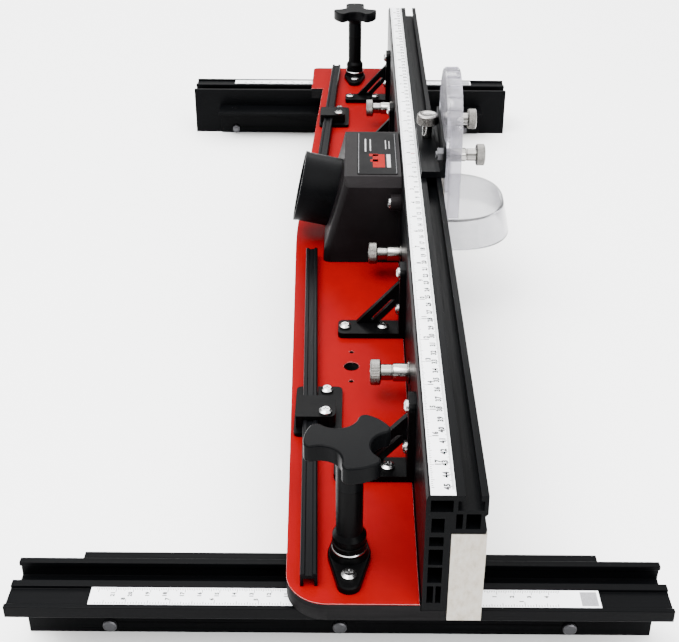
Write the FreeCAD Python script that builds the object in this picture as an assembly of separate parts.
import FreeCAD, Part
import math
import os

# Router table fence: a split fence on a base plate that slides on two side rails.
# Everything is laid out on the table: X along the fence, Y away from the operator with 0 at
# the face line of the fence, Z up with 0 on the table top.  At the end the whole model is
# moved so that its origin lies under its middle, level with the lowest edge of the rails.

V = FreeCAD.Vector
os.makedirs("parts", exist_ok=True)

# ---------------------------------------------------------------- driving dimensions (mm)
fence_length = 914.4
fence_end = fence_length / 2
gap_between_faces = 101.6

# side rails
rail_length = 382.0
rail_back = 272.0
rail_mid = rail_back - rail_length / 2
rail_inner = 409.0
rail_outer = 449.5
skirt_wall = 6.0
skirt_depth = 55.0
slot_floor = -12.0
slot_lip = 3.0
slot_centre = 420.5
slot_width = 14.0
slot_cavity = 19.0
rib_edge = 432.5
recess_edge = 446.5
recess_depth = 2.0
outer_lip_depth = 8.0
tape_width = 13.4
tape_thickness = 1.5
rail_tape_front = -69.0
rail_tape_back = 224.5
bolt_row_z = -48.7
bolt_pitch = 141.0

# table support angles inside the rails
angle_length = 320.0
angle_shelf = 27.0
angle_top = -20.0
angle_wall = 3.0

# base plate
plate_end = 457.4
plate_front = 21.2
plate_step = 35.4
plate_thickness = 12.2
laminate = 0.6
rebate_height = 7.4
plate_back_end = 110.6
plate_back_mid = 126.8
plate_corner = 24.0
ear_start = 382.0
ear_corner = 6.0
spare_lock_x = 219.0
lock_y = 75.4
lock_screw_offset = 19.4
lock_bore = 5.75

# fence beam section
beam_front = 1.8
beam_back = 34.9
beam_top = 89.5
beam_column_front = 20.7
head_bottom = 63.7
beam_bottom = rebate_height + 0.1
top_slot_y = 10.1
top_slot_width = 8.4
top_slot_cavity = 14.0
top_lip = 3.5
top_slot_floor = 79.6

# sub-fences
face_front = 1.4
face_back = 20.6
face_bottom = 0.3
face_top = 63.2
face_bolt_x = (81.0, 259.0)
face_bolt_z = 34.0
face_travel_in = 12.0
face_travel_out = 30.0
face_bolt_r = 3.0

# gussets
gusset_x = (170.5, 342.0)
gusset_width = 20.0
gusset_wall = 4.6
gusset_web = 4.8
gusset_reach = 86.0
gusset_top = 70.5
foot_screw_y = (51.3, 80.6)
leg_screw_z = (33.0, 64.1)

# slide tracks on the base plate and the clips over them
track_width = 10.0
track_height = 9.3
track_outer_end = (444.0, 98.1)
track_inner_end = (48.0, 110.8)
clip_x = (-277.6, 283.0)
clip_length = 55.4
clip_y = (81.5, 114.0)
clip_block_y = (85.7, 112.5)
clip_block_length = 25.0
clip_block_shift = -8.8
clip_top = 24.6
clip_foot_height = 3.2
clip_screw_y = 92.4
clip_low_screw_shift = 23.0
clip_high_screw_shift = -15.7

# lock-down knobs
lock_x = slot_centre
knob_top = 98.0
knob_thickness = 11.0
knob_tip_r = 25.7
knob_corner_r = 4.2
knob_corner_angle = 18.0
knob_waist = 12.0
knob_hub_r = 11.0
sleeve_top = 66.0
sleeve_r = 7.8
sleeve_collar_r = 9.9
lock_flange = 4.6
lock_boss_top = plate_thickness + lock_flange + 3.6
washer_r = 10.3
washer_height = 1.8
stud_r = 4.0
lock_nut_length = 30.0
lock_nut_height = 5.0

# dust box and port
box_half = 57.0
box_top = 90.0
box_reach = 101.0
box_wall = 3.0
box_bevel = 7.2
lug_r = 6.2
port_r = 30.6
port_wall = 2.1
port_tilt = 12.0
port_mouth = (122.9, 58.7)
port_length = 44.0
dust_window_half = 44.0
dust_window_top = 61.0

# guard
bracket_half = 51.0
bracket_thickness = 5.6
bracket_back = 18.6
wall_front = -1.5
wall_back = 0.5
wall_top = 115.6
guard_knob_x = 41.0
guard_knob_z = 106.5
thumb_x = 25.0
shield_back = -1.7
shield_sheet = 3.0
shield_half = 50.0
arch_centre_z = 115.0
shield_rim_front = -14.6
shield_bottom = 24.0
grip_rib_pitch = 13.0
hood_power = 2.5
hood_top = 50.0
hood_bottom = 22.0
hood_reach = (64.0, 58.0)
hood_half = (53.0, 51.0)
hood_wall = 3.0
shield_rim = 2.6
shield_down = 12.0
shield_up = 30.0
guard_stud_r = 3.0

# knurled nuts
knurl_r = 9.0
knurl_head = 7.5
knurl_collar_r = 6.4
knurl_neck_r = 5.6
knurl_flange_r = 8.0
thumb_head_r = 9.4
thumb_head = 9.3
thumb_head_low = 108.0
thumb_collar_r = 4.3

# screws
screw_r = 2.0
screw_head_r = 4.5
screw_head_h = 2.6
angle_bolt_r = 2.5

running_gap = 0.05
joint_gap = 0.1


# ---------------------------------------------------------------- small helpers
def block(x0, x1, y0, y1, z0, z1):
    """Box between two corners."""
    return Part.makeBox(x1 - x0, y1 - y0, z1 - z0, V(x0, y0, z0))


def rod(r, start, direction, length):
    """Cylinder of radius r from a start point along a direction."""
    return Part.makeCylinder(r, length, V(*start), V(*direction))


def prism_x(outline, x0, x1):
    """Closed outline of (y, z) points pushed along X."""
    points = [V(x0, y, z) for y, z in outline]
    face = Part.Face(Part.makePolygon(points + points[:1]))
    return face.extrude(V(x1 - x0, 0, 0))


def prism_y(outline, y0, y1):
    """Closed outline of (x, z) points pushed along Y."""
    points = [V(x, y0, z) for x, z in outline]
    face = Part.Face(Part.makePolygon(points + points[:1]))
    return face.extrude(V(0, y1 - y0, 0))


def mirror_x(shape):
    """The same piece on the other side of the fence's middle."""
    return shape.mirror(V(0, 0, 0), V(1, 0, 0))


def fuse(shapes):
    """One solid from touching shapes."""
    first, rest = shapes[0], shapes[1:]
    return first.fuse(rest).removeSplitter() if rest else first


def at_end(side, shape):
    """Shapes are drawn for the +X end; side -1 gives the -X end."""
    return mirror_x(shape) if side < 0 else shape


def edges_where(shape, test):
    """Edges whose middle point passes the test."""
    chosen = []
    for edge in shape.Edges:
        middle = edge.valueAt((edge.FirstParameter + edge.LastParameter) / 2)
        if test(middle, edge):
            chosen.append(edge)
    return chosen


def is_along(edge, axis):
    """True for a straight edge that runs along a unit axis."""
    ends = edge.Vertexes
    if len(ends) < 2:
        return False
    run = ends[1].Point - ends[0].Point
    return run.Length > 1e-6 and abs(run.normalize().dot(V(*axis))) > 0.999


# ---------------------------------------------------------------- fasteners
def pan_screw(point, direction, length):
    """Cross-recess pan-head screw: the head stands on point, the shank goes along direction."""
    into = V(*direction)
    out = into * -1
    seat = V(*point)
    shank = Part.makeCylinder(screw_r, length, seat, into)
    head = Part.makeCylinder(screw_head_r, screw_head_h * 0.55, seat, out)
    dome_h = screw_head_h * 0.45
    dome = Part.makeCone(screw_head_r, screw_head_r * 0.62, dome_h, seat + out * (screw_head_h * 0.55), out)
    screw = fuse([shank, head, dome])
    side = V(0, 0, 1) if abs(into.z) < 0.5 else V(1, 0, 0)
    other = into.cross(side)
    tip = seat + out * (screw_head_h - 0.6)
    for a, b in ((side, other), (other, side)):
        start = tip - a * 2.1 - b * 0.45
        corners = [start, start + a * 4.2, start + a * 4.2 + b * 0.9, start + b * 0.9]
        bar = Part.Face(Part.makePolygon(corners + corners[:1])).extrude(out * (screw_head_h + 1))
        screw = screw.cut(bar)
    return screw


def screw_hole(point, direction, length):
    """Clearance for a pan-head screw's shank."""
    return Part.makeCylinder(screw_r + running_gap, length, V(*point), V(*direction))


def hexagon(across_flats, point, direction, height, bore):
    """Hex nut standing on point along direction."""
    axis = V(*direction)
    side = V(0, 0, 1) if abs(axis.z) < 0.5 else V(1, 0, 0)
    other = axis.cross(side)
    r = across_flats / math.sqrt(3)
    base = V(*point)
    corners = []
    for k in range(6):
        turn = math.radians(60 * k)
        corners.append(base + side * (r * math.cos(turn)) + other * (r * math.sin(turn)))
    nut = Part.Face(Part.makePolygon(corners + corners[:1])).extrude(axis * height)
    return nut.cut(Part.makeCylinder(bore, height, base, axis))


def turned(profile, point, direction):
    """Body turned about the line through point along direction, from (radius, height) corners."""
    points = [V(r, 0, h) for r, h in profile]
    body = Part.Face(Part.makePolygon(points + points[:1])).revolve(V(0, 0, 0), V(0, 0, 1), 360)
    body.Placement = FreeCAD.Placement(V(*point), FreeCAD.Rotation(V(0, 0, 1), V(*direction)))
    return body


def knurled_nut(point, direction, length, neck, bore, flange_r):
    """Round nut on a stepped collar; point is the clamping end, length ends below the head."""
    collar = knurl_neck_r if flange_r < knurl_collar_r else knurl_collar_r
    top = length + knurl_head
    profile = [
        (bore, 0), (flange_r, 0), (flange_r, 1.0), (collar, 1.0), (collar, length - neck - 0.8),
        (knurl_neck_r - 0.3, length - neck), (knurl_neck_r - 0.3, length - neck + 0.6),
        (knurl_neck_r, length - neck + 0.9), (knurl_neck_r, length), (knurl_r - 0.9, length),
        (knurl_r, length + 0.9), (knurl_r, top - 0.9), (knurl_r - 0.9, top), (0, top),
        (0, top - 2.0), (bore, top - 2.0),
    ]
    return turned(profile, point, direction)


# ---------------------------------------------------------------- side rails
def rail(side):
    """Rail section: skirt, T-slot, rib, tape recess and outer lip, pushed along Y."""
    slot_in = slot_centre - slot_cavity / 2
    slot_out = slot_centre + slot_cavity / 2
    lip_in = slot_centre - slot_width / 2
    lip_out = slot_centre + slot_width / 2
    floor_bottom = slot_floor - 3.0
    outline = [
        (rail_inner, -skirt_depth), (rail_inner, 0), (lip_in, 0), (lip_in, -slot_lip),
        (slot_in, -slot_lip), (slot_in, slot_floor), (slot_out, slot_floor), (slot_out, -slot_lip),
        (lip_out, -slot_lip), (lip_out, 0), (rib_edge, 0), (rib_edge, -recess_depth),
        (recess_edge, -recess_depth), (recess_edge, 0), (rail_outer, 0),
        (rail_outer, -outer_lip_depth), (slot_out + 3.0, -outer_lip_depth),
        (slot_out + 3.0, floor_bottom), (rail_inner + skirt_wall, floor_bottom),
        (rail_inner + skirt_wall, -skirt_depth),
    ]
    body = prism_y(outline, rail_back - rail_length, rail_back)
    for y in (rail_mid - bolt_pitch, rail_mid, rail_mid + bolt_pitch):
        body = body.cut(rod(angle_bolt_r + running_gap, (rail_inner - 5, y, bolt_row_z), (1, 0, 0), 20))
    return at_end(side, body)


def rail_tape(side):
    """Rule let into the rail's recess."""
    middle = (rib_edge + recess_edge) / 2
    x0 = middle - tape_width / 2
    tape = block(x0, x0 + tape_width, rail_tape_front, rail_tape_back,
                 -recess_depth, -recess_depth + tape_thickness)
    return at_end(side, tape)


def table_angle(side):
    """Angle that holds the table top from below, bolted to the skirt."""
    y0 = rail_mid - angle_length / 2
    y1 = rail_mid + angle_length / 2
    shelf = block(rail_inner - angle_shelf, rail_inner, y0, y1, angle_top - angle_wall, angle_top)
    leg = block(rail_inner - angle_wall, rail_inner, y0, y1, -skirt_depth + 1.0, angle_top)
    angle = fuse([shelf, leg])
    for y in (rail_mid - bolt_pitch, rail_mid, rail_mid + bolt_pitch):
        hole = rod(angle_bolt_r + running_gap, (rail_inner - 5, y, bolt_row_z), (1, 0, 0), 10)
        wood_screw_hole = rod(2.6, (rail_inner - 9, y, angle_top - 5), (0, 0, 1), 10)
        angle = angle.cut(hole).cut(wood_screw_hole)
    return at_end(side, angle)


def angle_fasteners():
    """Six bolts with heads outside the skirts and six nuts inside the angles."""
    bolts = []
    nuts = []
    outside = rail_inner + skirt_wall
    for side in (1, -1):
        for y in (rail_mid - bolt_pitch, rail_mid, rail_mid + bolt_pitch):
            shank = rod(angle_bolt_r, (rail_inner - angle_wall - 5.5, y, bolt_row_z), (1, 0, 0),
                        angle_wall + skirt_wall + 5.5)
            head = rod(4.3, (outside, y, bolt_row_z), (1, 0, 0), 2.6)
            rims = edges_where(head, lambda m, e: m.x > outside + 2.5 and isinstance(e.Curve, Part.Circle))
            head = head.makeChamfer(0.8, rims)
            bolts.append(at_end(side, fuse([shank, head])))
            nut = hexagon(8.0, (rail_inner - angle_wall - 4.0, y, bolt_row_z), (1, 0, 0), 4.0,
                          angle_bolt_r + running_gap)
            nuts.append(at_end(side, nut))
    return Part.makeCompound(bolts), Part.makeCompound(nuts)


# ---------------------------------------------------------------- base plate
def plate_outline(z):
    """Plan of the base plate: back edge bulged at the middle, rounded corner, ear at one end."""
    slope = (plate_back_mid - plate_back_end) / plate_end
    ear_y = plate_back_mid
    ear_root = plate_back_mid - slope * ear_start
    near_y = plate_back_mid - slope * (plate_end - plate_corner)
    mid = 40.0
    mid_y = plate_back_mid - slope * mid
    apex = V(0, plate_back_mid - slope * mid * 0.35, z)
    r = ear_corner
    c = math.sqrt(0.5)
    corner = plate_corner
    edges = [
        Part.LineSegment(V(-plate_end, plate_front, z), V(plate_end, plate_front, z)),
        Part.LineSegment(V(plate_end, plate_front, z), V(plate_end, ear_y - r, z)),
        Part.Arc(V(plate_end, ear_y - r, z), V(plate_end - r + r * c, ear_y - r + r * c, z),
                 V(plate_end - r, ear_y, z)),
        Part.LineSegment(V(plate_end - r, ear_y, z), V(ear_start, ear_y, z)),
        Part.LineSegment(V(ear_start, ear_y, z), V(ear_start, ear_root, z)),
        Part.LineSegment(V(ear_start, ear_root, z), V(mid, mid_y, z)),
        Part.Arc(V(mid, mid_y, z), apex, V(-mid, mid_y, z)),
        Part.LineSegment(V(-mid, mid_y, z), V(-plate_end + corner, near_y, z)),
        Part.Arc(V(-plate_end + corner, near_y, z),
                 V(-plate_end + corner - corner * c, near_y - corner + corner * c, z),
                 V(-plate_end, near_y - corner, z)),
        Part.LineSegment(V(-plate_end, near_y - corner, z), V(-plate_end, plate_front, z)),
    ]
    return Part.Wire([e.toShape() for e in edges])


def plate_holes(low, high):
    """Every hole through the base plate."""
    holes = []
    for side in (1, -1):
        holes.append(rod(lock_bore, (side * lock_x, lock_y, low), (0, 0, 1), high - low))
        for offset in (-lock_screw_offset, lock_screw_offset):
            holes.append(screw_hole((side * lock_x + offset, lock_y, low), (0, 0, 1), high - low))
        for x in gusset_x:
            for y in foot_screw_y:
                holes.append(screw_hole((side * x, y, low), (0, 0, 1), high - low))
    for x in clip_x:
        for shift in (clip_low_screw_shift, clip_high_screw_shift):
            holes.append(screw_hole((x + shift, clip_screw_y, low), (0, 0, 1), high - low))
    spare = -spare_lock_x
    holes.append(rod(lock_bore, (spare, lock_y, low), (0, 0, 1), high - low))
    for offset in (-lock_screw_offset, lock_screw_offset):
        holes.append(rod(1.8, (spare + offset, lock_y, low), (0, 0, 1), high - low))
    return Part.makeCompound(holes)


def base_plate():
    """Dark core of the plate, rebated along the front for the fence beam."""
    core = Part.Face(plate_outline(0)).extrude(V(0, 0, plate_thickness - laminate))
    rebate = block(-plate_end - 1, plate_end + 1, plate_front - 1, plate_step, rebate_height, 20)
    core = core.cut(rebate)
    bit_notch = block(-42, 42, plate_front - 1, 30, -1, 20)
    core = core.cut(bit_notch)
    return core.cut(plate_holes(-1, 14))


def base_plate_laminate():
    """Coloured laminate on top of the core."""
    low = plate_thickness - laminate
    skin = Part.Face(plate_outline(low)).extrude(V(0, 0, laminate))
    skin = skin.cut(block(-plate_end - 1, plate_end + 1, plate_front - 1, plate_step + 0.6, 0, 20))
    return skin.cut(plate_holes(-1, 14))


# ---------------------------------------------------------------- fence beam
def fence_beam():
    """Hollow extrusion: head with T-slot and column behind the sub-fences."""
    outline = [
        (beam_front, beam_top), (beam_front - 0.2, 77.4), (3.2, 75.2), (beam_front - 0.2, 66.2),
        (2.2, head_bottom), (beam_column_front, head_bottom), (beam_column_front, beam_bottom),
        (beam_back, beam_bottom), (beam_back, 86.5), (beam_back - 1.2, beam_top),
    ]
    slot_front = top_slot_y - top_slot_width / 2
    slot_back = top_slot_y + top_slot_width / 2
    cavity_front = top_slot_y - top_slot_cavity / 2 + 0.8
    cavity_back = top_slot_y + top_slot_cavity / 2 + 0.8
    pockets = [
        (slot_front, slot_back, beam_top - top_lip - 1, beam_top + 1),
        (cavity_front, cavity_back, top_slot_floor, beam_top - top_lip),
        (5.4, 13.2, 67.0, 77.2), (15.0, 18.6, 67.0, 77.2),
        (20.4, 32.4, 78.6, 86.4), (24.6, 31.6, 64.4, 74.0),
        (24.6, 32.4, 54.8, 61.2), (24.6, 32.4, 41.4, 52.4), (24.6, 32.4, 28.4, 39.6),
        (24.6, 27.6, 13.4, 25.8), (28.8, 32.4, 13.4, 25.8),
    ]
    body = prism_x(outline, -fence_end, fence_end)
    for y0, y1, z0, z1 in pockets:
        body = body.cut(block(-fence_end - 1, fence_end + 1, y0, y1, z0, z1))
    window = block(-dust_window_half, dust_window_half, beam_column_front - 1, beam_back + 1,
                   beam_bottom - 1, dust_window_top)
    body = body.cut(window)
    for side in (1, -1):
        for x in face_bolt_x:
            inner = x - face_travel_in
            outer = x + face_travel_out
            r = face_bolt_r + 0.5
            slot = fuse([
                block(inner, outer, beam_column_front - 1, beam_back + 1, face_bolt_z - r, face_bolt_z + r),
                rod(r, (inner, beam_column_front - 1, face_bolt_z), (0, 1, 0), 16.2),
                rod(r, (outer, beam_column_front - 1, face_bolt_z), (0, 1, 0), 16.2),
            ])
            body = body.cut(at_end(side, slot))
        for x in gusset_x:
            for z in leg_screw_z:
                body = body.cut(screw_hole((side * x, beam_back - 3.5, z), (0, 1, 0), 5))
        for x, z in dust_box_lugs():
            body = body.cut(screw_hole((side * x, beam_back - 3.5, z), (0, 1, 0), 5))
    return body


def fence_tape():
    """Rule along the top of the beam."""
    return block(-fence_end + 0.4, fence_end - 0.4, 19.3, 32.6, beam_top, beam_top + 0.4)


# ---------------------------------------------------------------- sub-fences
def face_board(side):
    """Solid wood face with two countersunk bolt holes."""
    x0 = gap_between_faces / 2
    board = block(x0, fence_end, face_front, face_back - joint_gap, face_bottom, face_top)
    ends = edges_where(board, lambda m, e: is_along(e, (0, 0, 1)) and m.x < x0 + 1 and m.y < face_front + 1)
    board = board.makeChamfer(6.0, ends)
    for x in face_bolt_x:
        board = board.cut(rod(face_bolt_r + running_gap, (x, face_front - 1, face_bolt_z), (0, 1, 0), 25))
        sink = Part.makeCone(7.2, face_bolt_r, 4.2, V(x, face_front, face_bolt_z), V(0, 1, 0))
        mouth = rod(7.2, (x, face_front - 1, face_bolt_z), (0, 1, 0), 1.01)
        board = board.cut(sink).cut(mouth)
    return at_end(side, board)


def face_bolts(side):
    """Two countersunk bolts through a face and the beam."""
    bolts = []
    for x in face_bolt_x:
        start = face_front + 0.6
        head = Part.makeCone(6.4, face_bolt_r, 3.6, V(x, start, face_bolt_z), V(0, 1, 0))
        shank = rod(face_bolt_r, (x, start + 3.6, face_bolt_z), (0, 1, 0), 52.0)
        socket = Part.makeCylinder(1.9, 1.8, V(x, start - 0.2, face_bolt_z), V(0, 1, 0))
        bolts.append(at_end(side, fuse([head, shank]).cut(socket)))
    return Part.makeCompound(bolts)


def face_knob(side, index):
    """Knurled nut on the back of the beam."""
    x = side * face_bolt_x[index]
    seat = (x, beam_back + joint_gap, face_bolt_z)
    return knurled_nut(seat, (0, 1, 0), 19.8, 8.0, face_bolt_r + running_gap, knurl_flange_r)


# ---------------------------------------------------------------- gussets
def gusset(x):
    """Angle bracket with a slotted strut standing on one edge, square to the fence."""
    half = gusset_width / 2
    back = beam_back + 0.05
    foot_top = plate_thickness + gusset_wall
    inside_y = back + gusset_wall
    foot = block(x - half, x + half, back, gusset_reach, plate_thickness, foot_top)
    leg = block(x - half, x + half, back, inside_y, plate_thickness, gusset_top)
    plates = fuse([foot, leg])
    tips = edges_where(plates, lambda m, e: (is_along(e, (0, 0, 1)) and m.y > gusset_reach - 1)
                       or (is_along(e, (0, 1, 0)) and m.z > gusset_top - 1))
    plates = plates.makeFillet(4.0, tips)
    strut = [(72.8, foot_top - 1), (56.4, foot_top - 1), (inside_y - 1, 36.0), (inside_y - 1, 54.0)]
    slot = [(62.0, 19.4), (45.6, 38.2), (42.6, 38.2), (59.0, 19.4)]
    web = prism_x(strut, x + half - gusset_web, x + half)
    web = web.cut(prism_x(slot, x, x + half + 1))
    body = fuse([plates, web])
    for y in foot_screw_y:
        body = body.cut(screw_hole((x, y, plate_thickness - 1), (0, 0, 1), 8))
    for z in leg_screw_z:
        body = body.cut(screw_hole((x, back - 1, z), (0, 1, 0), 8))
    return body


def gusset_screws():
    """Four screws in each of the four gussets."""
    screws = []
    foot_top = plate_thickness + gusset_wall
    leg_face = beam_back + 0.05 + gusset_wall
    for side in (1, -1):
        for x in gusset_x:
            for y in foot_screw_y:
                screws.append(pan_screw((side * x, y, foot_top), (0, 0, -1), 15.0))
            for z in leg_screw_z:
                screws.append(pan_screw((side * x, leg_face, z), (0, -1, 0), gusset_wall + 3.0))
    return Part.makeCompound(screws)


# ---------------------------------------------------------------- slide tracks and clips
def track_outline():
    """Section across the track: grooved top, legs down to the plate."""
    w = track_width / 2
    h = track_height
    return [
        (-w, 0), (-w, h - 0.8), (-w + 0.8, h), (-2.2, h), (-2.2, h - 1.2), (2.2, h - 1.2),
        (2.2, h), (w - 0.8, h), (w, h - 0.8), (w, 0), (w - 2.0, 0), (w - 2.0, h - 3.8),
        (-w + 2.0, h - 3.8), (-w + 2.0, 0),
    ]


def slide_track(side):
    """Channel along the plate's back edge, running slightly askew to the fence."""
    dx = track_inner_end[0] - track_outer_end[0]
    dy = track_inner_end[1] - track_outer_end[1]
    bar = prism_x(track_outline(), 0, math.hypot(dx, dy))
    bar.rotate(V(0, 0, 0), V(0, 0, 1), math.degrees(math.atan2(dy, dx)))
    bar.translate(V(track_outer_end[0], track_outer_end[1], plate_thickness))
    return at_end(side, bar)


def track_y(x):
    """Distance of the track's centre line behind the face line, for a distance from the middle."""
    share = (abs(x) - track_inner_end[0]) / (track_outer_end[0] - track_inner_end[0])
    return track_inner_end[1] + (track_outer_end[1] - track_inner_end[1]) * share


def track_angle():
    """Angle of the +X track to the fence, in degrees."""
    dx = track_outer_end[0] - track_inner_end[0]
    dy = track_outer_end[1] - track_inner_end[1]
    return math.degrees(math.atan2(dy, dx))


def track_clip(x):
    """Clip that bridges the track: a flat foot and a block, held by a low and a high screw."""
    side = 1 if x > 0 else -1
    half = clip_length / 2
    foot = block(x - half, x + half, clip_y[0], clip_y[1], plate_thickness, plate_thickness + clip_foot_height)
    corners = edges_where(foot, lambda m, e: is_along(e, (0, 0, 1)))
    foot = foot.makeFillet(4.0, corners)
    bx = x + clip_block_shift
    wide = clip_block_length / 2
    raised = block(bx - wide, bx + wide, clip_block_y[0], clip_block_y[1], plate_thickness, clip_top)
    front = edges_where(raised, lambda m, e: is_along(e, (0, 0, 1)) and m.y < clip_block_y[0] + 1)
    raised = raised.makeFillet(4.5, front)
    path = block(-track_width / 2 - 0.3, track_width / 2 + 0.3, -60, 60, -1, track_height + 0.3)
    path.rotate(V(0, 0, 0), V(0, 0, 1), 90 + side * track_angle())
    path.translate(V(x, track_y(x), plate_thickness))
    body = fuse([foot, raised]).cut(path)
    for shift in (clip_low_screw_shift, clip_high_screw_shift):
        body = body.cut(screw_hole((x + shift, clip_screw_y, plate_thickness - 1), (0, 0, 1), 20))
    return body


def clip_screws():
    """A low and a high screw in each clip."""
    screws = []
    foot_top = plate_thickness + clip_foot_height
    for x in clip_x:
        screws.append(pan_screw((x + clip_low_screw_shift, clip_screw_y, foot_top), (0, 0, -1), 13))
        screws.append(pan_screw((x + clip_high_screw_shift, clip_screw_y, clip_top), (0, 0, -1), 22))
    return Part.makeCompound(screws)


# ---------------------------------------------------------------- lock-down knobs
def lock_base(side):
    """Lozenge flange with a low round boss, screwed to the plate over the rail's slot."""
    x = side * lock_x
    z = plate_thickness
    half_length = 30.0
    half_width = 12.6
    tip_r = 7.0
    reach = half_length - tip_r
    lean = math.asin((half_width - tip_r) / reach)
    c = math.cos(lean)
    s = math.sin(lean)

    def cap(end, up):
        return V(x + end * (reach + tip_r * s), lock_y + up * tip_r * c, z)

    def crown(end, up):
        return V(x + end * half_width * s, lock_y + up * half_width * c, z)

    edges = []
    for end, up in ((1, 1), (-1, -1)):
        edges += [
            Part.Arc(crown(-end, up), V(x, lock_y + up * half_width, z), crown(end, up)),
            Part.LineSegment(crown(end, up), cap(end, up)),
            Part.Arc(cap(end, up), V(x + end * half_length, lock_y, z), cap(end, -up)),
            Part.LineSegment(cap(end, -up), crown(end, -up)),
        ]
    flange = Part.Face(Part.Wire([e.toShape() for e in edges])).extrude(V(0, 0, lock_flange))
    rim = edges_where(flange, lambda m, e: m.z > z + lock_flange - 0.1)
    flange = flange.makeChamfer(0.8, rim)
    boss_height = lock_boss_top - z - lock_flange
    boss = Part.makeCone(11.6, 10.6, boss_height, V(x, lock_y, z + lock_flange), V(0, 0, 1))
    body = fuse([flange, boss])
    body = body.cut(rod(stud_r + running_gap, (x, lock_y, z - 1), (0, 0, 1), 12))
    for offset in (-lock_screw_offset, lock_screw_offset):
        body = body.cut(screw_hole((x + offset, lock_y, z - 1), (0, 0, 1), 8))
    return body


def lock_washers():
    """Bright washer under each sleeve."""
    rings = []
    for side in (1, -1):
        ring = rod(washer_r, (side * lock_x, lock_y, lock_boss_top), (0, 0, 1), washer_height)
        rims = edges_where(ring, lambda m, e: isinstance(e.Curve, Part.Circle))
        ring = ring.makeChamfer(0.5, rims)
        rings.append(ring.cut(rod(stud_r + 0.3, (side * lock_x, lock_y, 0), (0, 0, 1), 40)))
    return Part.makeCompound(rings)


def lock_sleeve(side):
    """Tall spacer between the washer and the knob, with a grooved collar at its foot."""
    foot = lock_boss_top + washer_height
    bore = stud_r + running_gap
    wide = sleeve_collar_r
    profile = [
        (bore, foot), (wide, foot), (wide, foot + 3.6), (wide - 0.8, foot + 4.0), (wide - 0.8, foot + 4.8),
        (wide, foot + 5.2), (wide, foot + 8.7), (sleeve_r, foot + 11.7), (sleeve_r, sleeve_top),
        (bore, sleeve_top),
    ]
    return turned(profile, (side * lock_x, lock_y, 0), (0, 0, 1))


def lock_knob(side, turn):
    """Three-armed knob with flat-ended arms and a round hub that reaches down to the sleeve."""
    r = knob_corner_r
    corner = knob_tip_r - r
    half = knob_corner_angle
    gap = math.radians(60 - half)
    w = knob_waist
    q = (w * w + corner * corner - 2 * w * corner * math.cos(gap) - r * r) / (
        2 * r + 2 * corner * math.cos(gap) - 2 * w)
    waist_centre = w + q

    def polar(distance, degrees):
        return V(distance * math.cos(math.radians(degrees)), distance * math.sin(math.radians(degrees)), 0)

    def touch(corner_at, waist_at):
        centre = polar(corner, corner_at)
        return centre + (polar(waist_centre, waist_at) - centre) * (r / (r + q))

    edges = []
    for k in range(3):
        at = 120 * k
        for sign in (-1, 1):
            middle = polar(corner, at + sign * half)
            near = touch(at + sign * half, at + sign * 60)
            far = polar(knob_tip_r, at + sign * half)
            bulge = (near - middle).normalize() + (far - middle).normalize()
            edges.append(Part.Arc(near, middle + bulge.normalize() * r, far).toShape())
        edges.append(Part.Arc(polar(knob_tip_r, at - half), polar(knob_tip_r, at),
                              polar(knob_tip_r, at + half)).toShape())
        edges.append(Part.Arc(touch(at + half, at + 60), polar(w, at + 60),
                              touch(at + 120 - half, at + 60)).toShape())
    outline = Part.Wire(Part.__sortEdges__(edges))
    grip = Part.Face(outline).extrude(V(0, 0, knob_thickness))
    rims = edges_where(grip, lambda m, e: m.z > knob_thickness - 0.1 or m.z < 0.1)
    grip = grip.makeFillet(1.2, rims)
    low = sleeve_top + joint_gap
    grip_low = knob_top - knob_thickness
    grip.translate(V(0, 0, grip_low))
    profile = [
        (stud_r, low), (sleeve_r, low), (sleeve_r, grip_low - 5.0), (knob_hub_r, grip_low),
        (knob_hub_r, grip_low + 3.0), (0, grip_low + 3.0), (0, low + 21.0), (stud_r, low + 21.0),
    ]
    hub = turned(profile, (0, 0, 0), (0, 0, 1))
    body = fuse([grip.cut(rod(stud_r, (0, 0, low), (0, 0, 1), 21.0)), hub])
    body.rotate(V(0, 0, 0), V(0, 0, 1), turn)
    body.translate(V(side * lock_x, lock_y, 0))
    return body


def lock_stud(side):
    """Threaded stud from the knob down into the T-nut."""
    low = slot_floor + 0.8
    high = sleeve_top + joint_gap + 20.9
    return rod(stud_r, (side * lock_x, lock_y, low), (0, 0, 1), high - low)


def lock_nut(side):
    """T-nut in the rail's slot."""
    x = side * lock_x
    top = -slot_lip - running_gap
    wide = slot_cavity / 2 - 0.8
    neck = slot_width / 2 - 0.6
    body = block(x - wide, x + wide, lock_y - lock_nut_length / 2, lock_y + lock_nut_length / 2,
                 top - lock_nut_height, top)
    tongue = block(x - neck, x + neck, lock_y - lock_nut_length / 2, lock_y + lock_nut_length / 2,
                   top - 1.0, top + 2.0)
    body = fuse([body, tongue])
    return body.cut(rod(stud_r + running_gap, (x, lock_y, -20), (0, 0, 1), 30))


def lock_base_screws():
    """Two screws in each lock base."""
    screws = []
    for side in (1, -1):
        for offset in (-lock_screw_offset, lock_screw_offset):
            point = (side * lock_x + offset, lock_y, plate_thickness + lock_flange)
            screws.append(pan_screw(point, (0, 0, -1), 11.0))
    return Part.makeCompound(screws)


# ---------------------------------------------------------------- dust box
def dust_box_lugs():
    """Positions of the box's screws beside it: distance from the middle, height."""
    return [(box_half + 4.8, 71.0)]


def port_frame():
    """Mouth centre and outward direction of the dust port."""
    tilt = math.radians(port_tilt)
    return V(0, port_mouth[0], port_mouth[1]), V(0, math.cos(tilt), math.sin(tilt))


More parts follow.
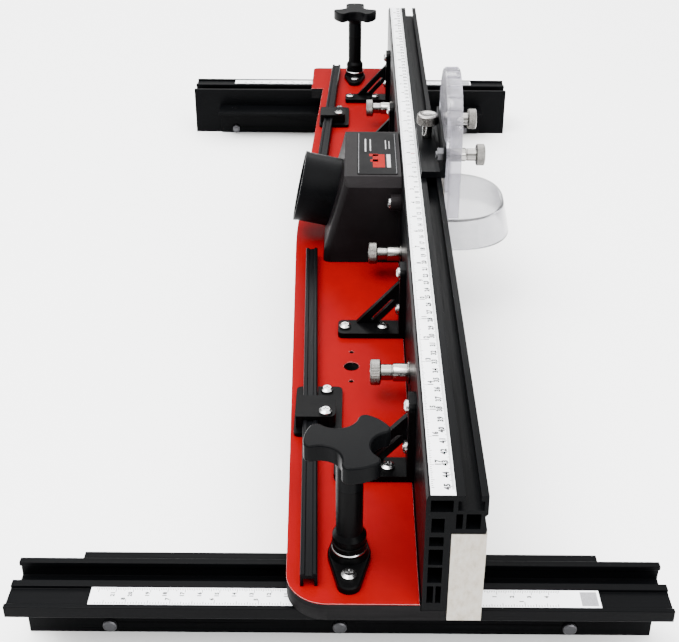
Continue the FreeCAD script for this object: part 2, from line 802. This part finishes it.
def dust_box():
    """Sloping housing behind the bit opening, open to the fence and to the port."""
    front = beam_back + 0.05
    floor = plate_thickness
    outline = [
        (front, floor), (box_reach, floor), (box_reach - 1.0, 25.0),
        (84.5, box_top - box_bevel), (82.8, box_top), (front, box_top),
    ]
    shell = prism_x(outline, -box_half, box_half)
    top_sides = edges_where(shell, lambda m, e: is_along(e, (0, 1, 0)) and m.z > box_top - 1)
    shell = shell.makeChamfer(box_bevel, top_sides)
    rear = edges_where(shell, lambda m, e: abs(abs(m.x) - box_half) < 0.5 and m.y > 84 and m.z < 80
                       and not is_along(e, (0, 1, 0)))
    shell = shell.makeFillet(6.0, rear)
    w = box_wall
    hollow = [
        (front - 1, floor - 1), (box_reach - w, floor - 1), (box_reach - 1.0 - w, 24.6),
        (81.4, box_top - box_bevel - 0.6), (80.2, box_top - w), (front - 1, box_top - w),
    ]
    cavity = prism_x(hollow, -box_half + w, box_half - w)
    cavity_top = edges_where(cavity, lambda m, e: is_along(e, (0, 1, 0)) and m.z > box_top - w - 1)
    cavity = cavity.makeChamfer(box_bevel - 0.6, cavity_top)
    shell = shell.cut(cavity)
    for side in (1, -1):
        for x, z in dust_box_lugs():
            lug = fuse([
                rod(lug_r, (side * x, front, z), (0, 1, 0), 9.0),
                at_end(side, block(box_half - 1, x, front, front + 9.0, z - lug_r, z + lug_r)),
            ])
            shell = fuse([shell, lug])
            shell = shell.cut(screw_hole((side * x, front - 1, z), (0, 1, 0), 12))
    mouth, out = port_frame()
    bore = Part.makeCylinder(port_r, port_length, mouth - out * port_length, out)
    return shell.cut(bore)


def dust_port():
    """Round spigot for the hose, with a ribbed collar where it meets the box."""
    mouth, out = port_frame()
    tube = Part.makeCylinder(port_r, port_length, mouth - out * port_length, out)
    lip = Part.makeCylinder(port_r + 0.5, 3.0, mouth - out * 3.0, out)
    tube = fuse([tube, lip])
    bore = Part.makeCylinder(port_r - port_wall, port_length + 2, mouth - out * (port_length + 1), out)
    return tube.cut(bore)


def dust_box_screws():
    """Two screws that hold the box's lugs to the beam."""
    screws = []
    for side in (1, -1):
        for x, z in dust_box_lugs():
            screws.append(pan_screw((side * x, beam_back + 9.05, z), (0, -1, 0), 12.0))
    return Part.makeCompound(screws)


def dust_box_label():
    """Blank label on the top of the dust box."""
    label = block(-46.0, 46.0, 37.5, 72.0, box_top, box_top + 0.5)
    corners = edges_where(label, lambda m, e: is_along(e, (0, 0, 1)))
    return label.makeFillet(2.0, corners)


# ---------------------------------------------------------------- guard
def guard_bracket():
    """Angle on top of the beam: base over the T-slot and a wall for the shield."""
    low = beam_top
    base = block(-bracket_half, bracket_half, wall_back - 0.5, bracket_back, low, low + bracket_thickness)
    wall = block(-bracket_half, bracket_half, wall_front, wall_back, low, wall_top)
    fillet = [(wall_back - 0.5, low + bracket_thickness - 0.5), (wall_back + 3.0, low + bracket_thickness - 0.5),
              (wall_back - 0.5, low + bracket_thickness + 3.0)]
    body = fuse([base, wall, prism_x(fillet, -bracket_half, bracket_half)])
    corners = edges_where(body, lambda m, e: is_along(e, (0, 1, 0)) and m.z > wall_top - 1)
    body = body.makeFillet(4.0, corners)
    for x in (-guard_knob_x, guard_knob_x):
        body = body.cut(rod(guard_stud_r + running_gap, (x, wall_front - 1, guard_knob_z), (0, 1, 0), 12))
    return body.cut(rod(guard_stud_r + running_gap, (thumb_x, top_slot_y, low - 1), (0, 0, 1), 10))


def guard_studs():
    """Two studs fixed in the bracket's wall."""
    start = wall_back + 6.0
    studs = [rod(guard_stud_r, (x, start, guard_knob_z), (0, -1, 0), 38.0)
             for x in (-guard_knob_x, guard_knob_x)]
    return Part.makeCompound(studs)


def guard_stud_nuts():
    """Nuts behind the bracket's wall."""
    nuts = [hexagon(10.0, (x, wall_back, guard_knob_z), (0, 1, 0), 4.6, guard_stud_r + running_gap)
            for x in (-guard_knob_x, guard_knob_x)]
    return Part.makeCompound(nuts)


def guard_knob(x):
    """Knurled nut that clamps the shield to the bracket."""
    clamp = shield_back - shield_sheet - joint_gap
    seat = (x, clamp, guard_knob_z)
    return knurled_nut(seat, (0, -1, 0), 22.0, 8.0, guard_stud_r + running_gap, knurl_neck_r)


def guard_thumbscrew():
    """Knurled screw that locks the bracket in the beam's T-slot."""
    seat = beam_top + bracket_thickness + joint_gap
    top = thumb_head_low + thumb_head
    profile = [
        (0, top_slot_floor + 0.8), (guard_stud_r, top_slot_floor + 0.8), (guard_stud_r, seat),
        (thumb_collar_r, seat), (thumb_collar_r, thumb_head_low), (thumb_head_r - 0.9, thumb_head_low),
        (thumb_head_r, thumb_head_low + 0.9), (thumb_head_r, top - 1.2), (thumb_head_r - 1.2, top), (0, top),
    ]
    return turned(profile, (thumb_x, top_slot_y, 0), (0, 0, 1))


def guard_slide_nut():
    """T-nut in the beam's top slot."""
    top = beam_top - top_lip - running_gap
    body = block(thumb_x - 11, thumb_x + 11, top_slot_y - 5.4, top_slot_y + 5.4, top - 4.0, top)
    tongue = block(thumb_x - 11, thumb_x + 11, top_slot_y - 3.7, top_slot_y + 3.7, top - 1, top + 2.2)
    body = fuse([body, tongue])
    return body.cut(rod(guard_stud_r + running_gap, (thumb_x, top_slot_y, 70), (0, 0, 1), 30))


def arch_face(half, centre_z, bottom, y):
    """Arch outline in the XZ plane at a given y."""
    segments = [
        Part.LineSegment(V(-half, y, bottom), V(-half, y, centre_z)),
        Part.Arc(V(-half, y, centre_z), V(0, y, centre_z + half), V(half, y, centre_z)),
        Part.LineSegment(V(half, y, centre_z), V(half, y, bottom)),
        Part.LineSegment(V(half, y, bottom), V(-half, y, bottom)),
    ]
    return Part.Face(Part.Wire([s.toShape() for s in segments]))


def guard_shield():
    """Clear arched sheet with a rim all round and ribs over its top for the fingers."""
    back = shield_back
    front_of_sheet = back - shield_sheet
    deep = back - shield_rim_front
    sheet = arch_face(shield_half, arch_centre_z, shield_bottom, back).extrude(V(0, -shield_sheet, 0))
    outer = arch_face(shield_half, arch_centre_z, hood_top + 1.0, back).extrude(V(0, -deep, 0))
    inner = arch_face(shield_half - shield_rim, arch_centre_z, hood_top - 9.0, back + 1)
    rim = outer.cut(inner.extrude(V(0, -deep - 2, 0)))
    body = fuse([sheet, rim])
    for k in range(-5, 6):
        at = 90 + grip_rib_pitch * k
        rib = block(-0.9, 0.9, shield_rim_front + 1.0, back - 1.0, shield_half - 1.0, shield_half + 1.3)
        rib.rotate(V(0, 0, 0), V(0, 1, 0), 90 - at)
        rib.translate(V(0, 0, arch_centre_z))
        body = fuse([body, rib])
    slot_r = guard_stud_r + 0.4
    low = guard_knob_z - shield_up
    high = guard_knob_z + shield_down
    for x in (-guard_knob_x, guard_knob_x):
        slot = fuse([
            block(x - slot_r, x + slot_r, front_of_sheet - 1, back + 1, low, high),
            rod(slot_r, (x, front_of_sheet - 1, low), (0, 1, 0), shield_sheet + 2),
            rod(slot_r, (x, front_of_sheet - 1, high), (0, 1, 0), shield_sheet + 2),
        ])
        body = body.cut(slot)
    return body


def hood_outline(z, half, reach):
    """Plan of the hood: straight against the shield, a squarish round in front."""
    front = shield_back - shield_sheet
    points = []
    for k in range(13):
        at = math.pi * k / 12
        c = math.cos(at)
        x = math.copysign(abs(c) ** (2 / hood_power), c) * half
        y = front - math.sin(at) ** (2 / hood_power) * (reach + front)
        points.append(V(x, y, z))
    curve = Part.BSplineCurve()
    curve.interpolate(points)
    return Part.Wire([curve.toShape(), Part.LineSegment(points[-1], points[0]).toShape()])


def guard_hood():
    """Clear hood over the bit: a shelf with a skirt that widens downwards."""
    bottom_half, top_half = hood_half
    bottom_reach, top_reach = hood_reach
    w = hood_wall
    outer = Part.makeLoft([hood_outline(hood_bottom, bottom_half, bottom_reach),
                           hood_outline(hood_top, top_half, top_reach)], True)
    inner = Part.makeLoft([hood_outline(hood_bottom - 1, bottom_half - w, bottom_reach - w),
                           hood_outline(hood_top - w, top_half - w, top_reach - w)], True)
    body = outer.cut(inner)
    rim = edges_where(body, lambda m, e: m.z > hood_top - 0.1 and m.y < -12)
    return body.makeFillet(2.4, rim)


# ---------------------------------------------------------------- write every node
def build():
    """All nodes by name."""
    bolts, nuts = angle_fasteners()
    nodes = {
        "angle_bolts": bolts, "angle_nuts": nuts,
        "base_plate": base_plate(), "base_plate_laminate": base_plate_laminate(),
        "fence_beam": fence_beam(), "fence_tape": fence_tape(),
        "gusset_screws": gusset_screws(), "clip_screws": clip_screws(),
        "lock_washers": lock_washers(), "lock_base_screws": lock_base_screws(),
        "dust_box": dust_box(), "dust_port": dust_port(),
        "dust_box_screws": dust_box_screws(), "dust_box_label": dust_box_label(),
        "guard_bracket": guard_bracket(), "guard_studs": guard_studs(),
        "guard_stud_nuts": guard_stud_nuts(), "guard_thumbscrew": guard_thumbscrew(),
        "guard_slide_nut": guard_slide_nut(), "guard_shield": guard_shield(),
        "guard_hood": guard_hood(),
        "left_guard_knob": guard_knob(-guard_knob_x), "right_guard_knob": guard_knob(guard_knob_x),
    }
    for name, side, turn in (("left", -1, 78.0), ("right", 1, 0.0)):
        nodes[name + "_rail"] = rail(side)
        nodes[name + "_rail_tape"] = rail_tape(side)
        nodes[name + "_table_angle"] = table_angle(side)
        nodes[name + "_inner_gusset"] = gusset(side * gusset_x[0])
        nodes[name + "_outer_gusset"] = gusset(side * gusset_x[1])
        nodes[name + "_track"] = slide_track(side)
        nodes[name + "_track_clip"] = track_clip(clip_x[0] if side < 0 else clip_x[1])
        nodes[name + "_lock_base"] = lock_base(side)
        nodes[name + "_lock_sleeve"] = lock_sleeve(side)
        nodes[name + "_lock_knob"] = lock_knob(side, turn)
        nodes[name + "_lock_stud"] = lock_stud(side)
        nodes[name + "_lock_nut"] = lock_nut(side)
        nodes[name + "_face"] = face_board(side)
        nodes[name + "_face_bolts"] = face_bolts(side)
        nodes[name + "_inner_face_knob"] = face_knob(side, 0)
        nodes[name + "_outer_face_knob"] = face_knob(side, 1)
    return nodes


origin_shift = V(0, -rail_mid, skirt_depth)
for node, shape in sorted(build().items()):
    placed = shape.copy()
    placed.translate(origin_shift)
    solids = len(placed.Solids)
    box = placed.BoundBox
    print("%-22s solids %2d  vol %9.1f  valid %s  z %.1f..%.1f" % (
        node, solids, placed.Volume, placed.isValid(), box.ZMin, box.ZMax))
    placed.exportStep("parts/%s.step" % node)
